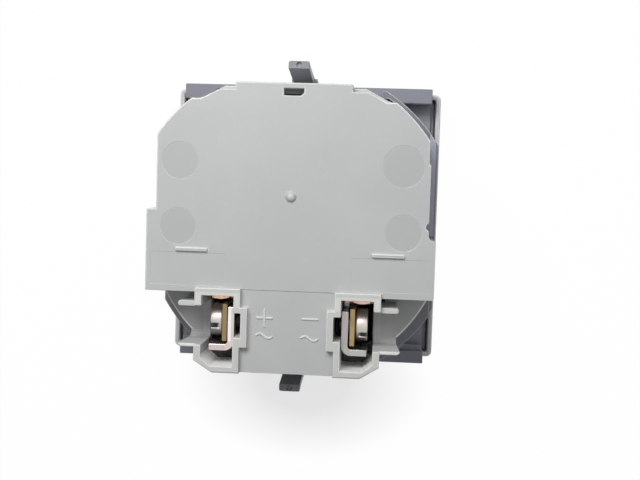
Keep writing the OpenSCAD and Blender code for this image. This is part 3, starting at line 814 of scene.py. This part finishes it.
# Inset and rise of the shoulder and of the crown of a ridge
SIGN_TOP = ((0.05, 0.08), (0.04, 0.03))
WAVE_STEPS = 12
WAVE_END = 0.49
WAVE_END_SHARE = 0.55


def flat_start(name, columns, rows):
    """A flat grid of side 1 to draw a stroke from, in edit mode."""
    bpy.ops.object.select_all(action="DESELECT")
    bpy.ops.mesh.primitive_grid_add(x_subdivisions=columns, y_subdivisions=rows, size=1.0)
    stroke = bpy.context.object
    stroke.name = name
    return stroke, edit(stroke)


def raise_ridge(stroke):
    """Lifts a flat outline to a low ridge with a rounded top."""
    bpy.ops.mesh.select_all(action="SELECT")
    bpy.ops.mesh.extrude_region_move(TRANSFORM_OT_translate={"value": (0, 0, SIGN_WALL * MM)})
    for inset, rise in SIGN_TOP:
        bpy.ops.mesh.inset(thickness=inset * MM, depth=rise * MM)
    bpy.ops.mesh.select_all(action="SELECT")
    bpy.ops.mesh.normals_make_consistent(inside=False)
    done(stroke)


def wave_sign(name, x, y, long, swing):
    """A raised stroke along x, swinging once for alternating current, with narrower ends."""
    stroke, mesh = flat_start(name, WAVE_STEPS, 1)
    for v in mesh.verts:
        phase = 2.0 * math.pi * v.co.x
        slope = math.atan(-2.0 * math.pi * swing / long * math.cos(phase))
        half = v.co.y * SIGN_WIDE * (WAVE_END_SHARE if abs(v.co.x) > WAVE_END else 1.0)
        v.co = Vector((x + v.co.x * long - half * math.sin(slope),
                       y - swing * math.sin(phase) + half * math.cos(slope), SIGN_FOOT)) * MM
    bmesh.update_edit_mesh(stroke.data)
    raise_ridge(stroke)
    return stroke


def plus_sign(name, x, y, long, tall):
    """Two raised strokes that cross."""
    stroke, mesh = flat_start(name, 3, 3)
    steps = sorted({round(v.co.x, 3) for v in mesh.verts})
    across = dict(zip(steps, (-long / 2, -SIGN_WIDE / 2, SIGN_WIDE / 2, long / 2)))
    upward = dict(zip(steps, (-tall / 2, -SIGN_WIDE / 2, SIGN_WIDE / 2, tall / 2)))
    for v in mesh.verts:
        v.co = Vector((x + across[round(v.co.x, 3)], y + upward[round(v.co.y, 3)], SIGN_FOOT)) * MM
    for face in mesh.faces:
        middle = face.calc_center_median() / MM
        face.select = abs(middle.x - x) > SIGN_WIDE and abs(middle.y - y) > SIGN_WIDE
    bmesh.update_edit_mesh(stroke.data)
    bpy.ops.mesh.delete(type="FACE")
    raise_ridge(stroke)
    return stroke


signs = [plus_sign("plus_sign", x=-3.55, y=-13.75, long=2.65, tall=2.95),
         wave_sign("minus_sign", x=3.49, y=-13.68, long=2.74, swing=0.0),
         wave_sign("left_wave_sign", x=-3.55, y=-16.55, long=2.7, swing=SIGN_SWING),
         wave_sign("right_wave_sign", x=3.48, y=-16.7, long=2.8, swing=SIGN_SWING)]
for sign in signs:
    dress(sign, GREY_SIGN)
    place(sign, "case", "grey_plastic")

# Numerals round the drums, on a digit band that keeps clear of both ends of its drum

BAND_LEFT = 0.75
BAND_RIGHT = 0.95
FIGURE_SIZE = 2.7
FIGURE_SQUEEZE = 0.62
FIGURE_STEPS = 3
FIGURE_MERGE = 0.002
INK_LIFT = 0.02
DIGITS = 10


def wrapped_figure(digit, centre_x):
    """One numeral, drawn flat and wrapped on the digit band."""
    bpy.ops.object.select_all(action="DESELECT")
    bpy.ops.object.text_add(location=(0, 0, 0))
    figure = bpy.context.object
    figure.data.body = str(digit)
    figure.data.align_x = "CENTER"
    figure.data.align_y = "CENTER"
    figure.data.size = FIGURE_SIZE
    figure.data.resolution_u = FIGURE_STEPS
    bpy.ops.object.convert(target="MESH")
    figure = bpy.context.object
    edit(figure)
    bpy.ops.mesh.select_all(action="SELECT")
    bpy.ops.mesh.dissolve_degenerate(threshold=FIGURE_MERGE)
    bpy.ops.mesh.subdivide(number_cuts=1)
    mesh = bmesh.from_edit_mesh(figure.data)
    turn = math.radians(-360.0 / DIGITS * digit)
    radius = DRUM_RADIUS + INK_LIFT
    for v in mesh.verts:
        around = turn - v.co.y / DRUM_RADIUS
        v.co = Vector(((centre_x + v.co.x * FIGURE_SQUEEZE) * MM,
                       (DRUM_AXIS_Y + radius * math.sin(around)) * MM,
                       (DRUM_AXIS_Z - radius * math.cos(around)) * MM))
    bmesh.update_edit_mesh(figure.data)
    done(figure)
    return figure


def numeral_band(number):
    """The ten numerals of one drum as one piece, with the nought in the window."""
    right_end = DRUM_RIGHT_END - DRUM_PITCH * (number - 1)
    centre_x = right_end - (DRUM_PITCH - BAND_LEFT + BAND_RIGHT) / 2
    figures = [wrapped_figure(digit, centre_x) for digit in range(DIGITS)]
    bpy.ops.object.select_all(action="DESELECT")
    for figure in figures:
        figure.select_set(True)
    band = figures[0]
    bpy.context.view_layer.objects.active = band
    bpy.ops.object.join()
    band.name = "drum_%d_numerals" % number
    return band


for number in range(1, DRUM_COUNT + 1):
    band = numeral_band(number)
    dress(band, DRUM_WHITE if number <= RED_DRUMS else NUMERAL_INK)
    place(band, "drum_%d" % number, "drum_plastic")

# Stage and light

# The paper is white but for a soft patch below the part, where its shadow shows
SHADOW_MIDDLE = (0, -31, 0)
SHADOW_REACH = (24, 15, 1)
SHADOW_CORE = 0.35
PATCH_WHITE = 0.7
PAPER_WHITE = 0.98
ROOM_LIGHT = (0.18, 0.183, 0.187)
LAMP_AIM = (0, 0, 20)


def showing_background(tree):
    """1 where the camera, a reflection or a window looks, 0 where light is gathered."""
    path = tree.nodes.new("ShaderNodeLightPath")
    seen = math_node(tree, "MAXIMUM", path.outputs["Is Camera Ray"], path.outputs["Is Glossy Ray"])
    return math_node(tree, "MAXIMUM", seen, path.outputs["Is Transmission Ray"])


def white_paper_material():
    """Pale paper that shows as white, less so in the patch that keeps the shadow."""
    material = new_material("white_paper")
    tree, shader = surface(material)
    shader.inputs["Base Color"].default_value = (0.95, 0.95, 0.95, 1.0)
    shader.inputs["Roughness"].default_value = 0.9
    gap = vector_node(tree, "SUBTRACT", object_place(tree), Vector(SHADOW_MIDDLE) * MM)
    away = vector_node(tree, "LENGTH", vector_node(tree, "DIVIDE", gap, Vector(SHADOW_REACH) * MM))
    whiteness = spread(tree, away, SHADOW_CORE, 1.0, PATCH_WHITE, PAPER_WHITE)
    glow = tree.nodes.new("ShaderNodeEmission")
    glow.inputs["Strength"].default_value = 1.0
    veil = tree.nodes.new("ShaderNodeMixShader")
    tree.links.new(math_node(tree, "MULTIPLY", showing_background(tree), whiteness), veil.inputs["Fac"])
    tree.links.new(shader.outputs["BSDF"], veil.inputs[1])
    tree.links.new(glow.outputs["Emission"], veil.inputs[2])
    tree.links.new(veil.outputs["Shader"], tree.nodes["Material Output"].inputs["Surface"])
    return material


def soft_room():
    """An even, dim room that shows as white."""
    world = bpy.data.worlds.new("soft_room")
    world.use_nodes = True
    tree = world.node_tree
    light = colour_mix(tree, showing_background(tree), ROOM_LIGHT, (1.0, 1.0, 1.0))
    tree.links.new(light, tree.nodes["Background"].inputs["Color"])
    tree.nodes["Background"].inputs["Strength"].default_value = 1.0
    return world


def soft_lamp(name, at, wide, tall, watts):
    """A rectangular lamp that looks at the middle of the part."""
    lamp_data = bpy.data.lights.new(name, "AREA")
    lamp_data.shape = "RECTANGLE"
    lamp_data.size = wide * MM
    lamp_data.size_y = tall * MM
    lamp_data.energy = watts
    lamp = bpy.data.objects.new(name, lamp_data)
    scene.collection.objects.link(lamp)
    lamp.location = Vector(at) * MM
    lamp.rotation_euler = (Vector(LAMP_AIM) - Vector(at)).to_track_quat("-Z", "Y").to_euler()


bpy.ops.object.select_all(action="DESELECT")
bpy.ops.mesh.primitive_plane_add(size=3.0, location=(0, 0, 0))
floor = bpy.context.object
floor.name = "studio_floor"
dress(floor, white_paper_material())
scene.world = soft_room()
soft_lamp("key_lamp", at=(-45, 120, 188), wide=130, tall=95, watts=0.336)
soft_lamp("fill_lamp", at=(260, 120, 360), wide=300, tall=300, watts=0.22)

# Camera, fitted to the photo

CAMERA_PLACE = (14.03, 7.05, 181.0)
# Axis of the turn, as long as its angle in radians
CAMERA_TURN = Vector((3.1963, 0.05395, -0.10441))
PHOTO_FOCAL_PIXELS = 950.2
PHOTO_WIDTH_PIXELS = 640


def photo_camera():
    """The camera at the photo's place, looking down at the terminals."""
    camera_data = bpy.data.cameras.new("photo_camera")
    camera_data.sensor_width = 36.0
    camera_data.lens = PHOTO_FOCAL_PIXELS * camera_data.sensor_width / PHOTO_WIDTH_PIXELS
    camera_data.clip_start = 0.01
    camera_data.clip_end = 10.0
    camera = bpy.data.objects.new("photo_camera", camera_data)
    scene.collection.objects.link(camera)
    turn = Matrix.Rotation(CAMERA_TURN.length, 3, CAMERA_TURN.normalized())
    axes = Matrix((turn[0], -turn[1], -turn[2])).transposed()
    camera.matrix_world = Matrix.Translation(Vector(CAMERA_PLACE) * MM) @ axes.to_4x4()
    return camera


scene.camera = photo_camera()
scene.view_settings.view_transform = "Standard"
